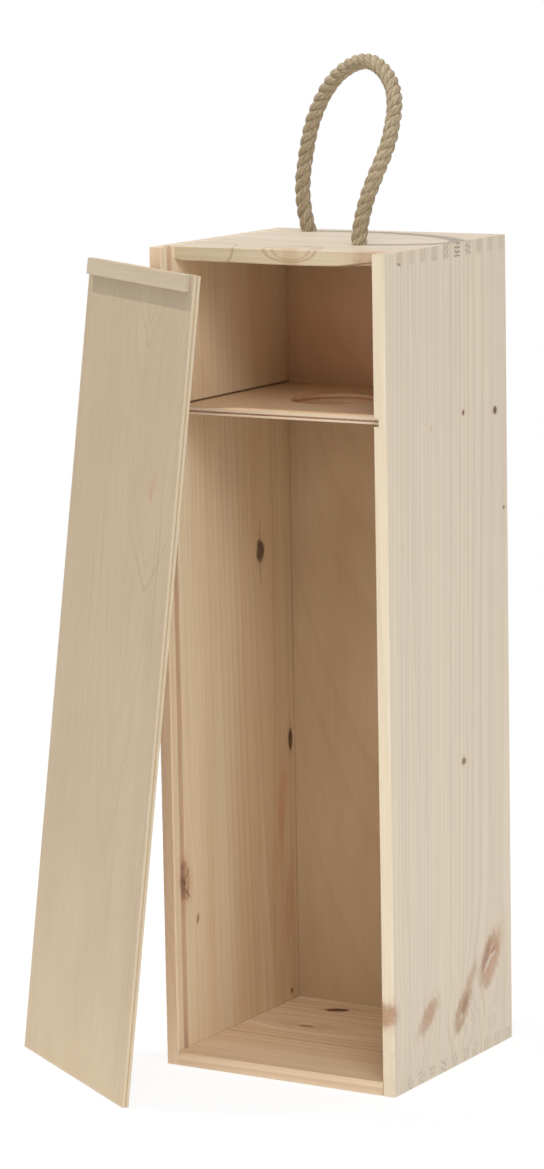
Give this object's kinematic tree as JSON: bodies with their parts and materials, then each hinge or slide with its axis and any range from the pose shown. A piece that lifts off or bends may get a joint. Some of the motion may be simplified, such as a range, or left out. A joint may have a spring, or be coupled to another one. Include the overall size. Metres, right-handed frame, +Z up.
{
  "type": "wooden wine box",
  "caption": "Upright finger-jointed wooden wine box, lid slid out and leaning on its corner, with a plywood neck shelf and a rope loop handle on top.",
  "frame": {"origin": "middle of the box's underside, on the surface it stands on", "axes": "+Z up along the box's height; -Y out of the open front that the lid closes; +X to the right for someone facing that front"},
  "size_m": [0.1862, 0.1752, 0.439],
  "materials": {
    "side_board": "planed softwood, unfinished",
    "end_board": "planed softwood, unfinished",
    "plywood": "sanded plywood, unfinished",
    "lid_plywood": "sanded plywood, unfinished",
    "rope": "three-strand hemp",
    "brad_steel": "bright wire"
  },
  "bodies": {
    "box": {"left_side": "side_board", "right_side": "side_board", "top_panel": "end_board", "bottom_panel": "end_board", "back_panel": "plywood", "back_brads": "brad_steel", "rope_ends": "rope"},
    "lid": {"lid_panel": "lid_plywood", "lid_batten": "end_board"},
    "shelf": {"neck_shelf": "plywood"},
    "handle": {"rope_handle": "rope"}
  },
  "joints": [
    {"name": "lid_lift", "type": "slide", "parent": "box", "child": "lid", "axis": [0, 0, 1], "range_m": [0, 0.45]},
    {"name": "shelf_slide", "type": "slide", "parent": "box", "child": "shelf", "axis": [0, -1, 0], "range_m": [0, 0.018]},
    {"name": "handle_swing", "type": "hinge", "parent": "box", "child": "handle", "pos_m": [-0.034, 0.041, 0.3638], "axis": [0.7196, -0.6944, 0], "range_deg": [-45, 65], "stiffness_Nm_per_rad": 0.05}
  ]
}
